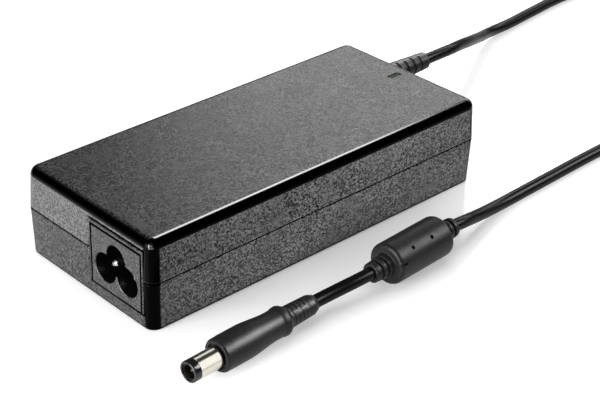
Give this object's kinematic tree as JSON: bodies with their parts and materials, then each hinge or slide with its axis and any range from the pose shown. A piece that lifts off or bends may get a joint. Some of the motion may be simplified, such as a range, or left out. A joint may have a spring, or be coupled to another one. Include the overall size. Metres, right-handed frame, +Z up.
{
  "type": "laptop power adapter",
  "caption": "Flat rectangular mains power adapter with a three-pin inlet, an indicator window and a fixed low-voltage cord that carries a ferrite and ends in a barrel plug.",
  "frame": {"origin": "centre of the case's underside, on the surface that it stands on", "axes": "+X from the inlet end to the cord end, +Y across the case towards the strain relief's side, +Z up"},
  "size_m": [0.3145, 0.107, 0.0297],
  "materials": {
    "case_plastic": "fine spark-eroded grain",
    "inlet_plastic": "fine grain on the face, smooth in the socket",
    "window_plastic": "clear green",
    "lamp_plastic": "clear",
    "pin_metal": "nickel plated",
    "brown_insulation": "smooth",
    "green_insulation": "smooth",
    "board_laminate": "paper laminate",
    "solder": "satin",
    "fuse_plastic": "smooth",
    "blue_coating": "dipped",
    "ferrite": "sintered",
    "copper_wire": "enamelled",
    "yellow_plastic": "smooth",
    "black_epoxy": "smooth",
    "sleeve_blue": "shrink sleeve",
    "sink_metal": "plain",
    "bobbin_plastic": "smooth",
    "winding_tape": "polyester tape",
    "white_plastic": "smooth",
    "powder_core": "coated",
    "film": "polyester film",
    "cord_rubber": "satin",
    "moulded_rubber": "satin",
    "tie_strap": "matt",
    "tip_plastic": "smooth",
    "barrel_metal": "nickel plated, bright",
    "contact_metal": "nickel plated"
  },
  "bodies": {
    "root": {"upper_shell": "case_plastic", "lower_shell": "case_plastic", "indicator_window": "window_plastic", "indicator_led": "lamp_plastic", "ac_inlet_housing": "inlet_plastic", "live_pin": "pin_metal", "neutral_pin": "pin_metal", "earth_pin": "pin_metal", "inlet_wires": "brown_insulation", "earth_wire": "green_insulation", "circuit_board": "board_laminate", "solder_joints": "solder", "fuse": "fuse_plastic", "surge_disc": "blue_coating", "common_mode_core": "ferrite", "common_mode_winding": "copper_wire", "x_capacitor": "yellow_plastic", "bridge_rectifier": "black_epoxy", "boost_choke_core": "ferrite", "boost_choke_winding": "copper_wire", "bulk_capacitor": "sleeve_blue", "primary_heat_sink": "sink_metal", "power_transistors": "black_epoxy", "transformer_core": "ferrite", "transformer_bobbin": "bobbin_plastic", "transformer_winding": "winding_tape", "y_capacitors": "blue_coating", "optocoupler": "white_plastic", "control_chips": "black_epoxy", "secondary_heat_sink": "sink_metal", "output_rectifiers": "black_epoxy", "output_capacitors": "sleeve_blue", "output_choke_core": "powder_core", "output_choke_winding": "copper_wire", "output_wires": "moulded_rubber", "lower_heat_spreader": "sink_metal", "lower_insulator": "film", "upper_heat_spreader": "sink_metal", "upper_insulator": "film", "dc_strain_relief": "moulded_rubber", "cord_exit_run": "cord_rubber", "cord_coil": "cord_rubber", "cord_tie": "tie_strap", "cord_plug_run": "cord_rubber", "ferrite_core": "ferrite", "ferrite_cover": "moulded_rubber", "plug_grip": "moulded_rubber", "plug_core": "white_plastic", "plug_barrel": "barrel_metal", "plug_tip_insulator": "tip_plastic", "plug_inner_contact": "contact_metal", "plug_centre_pin": "contact_metal"}
  },
  "joints": []
}
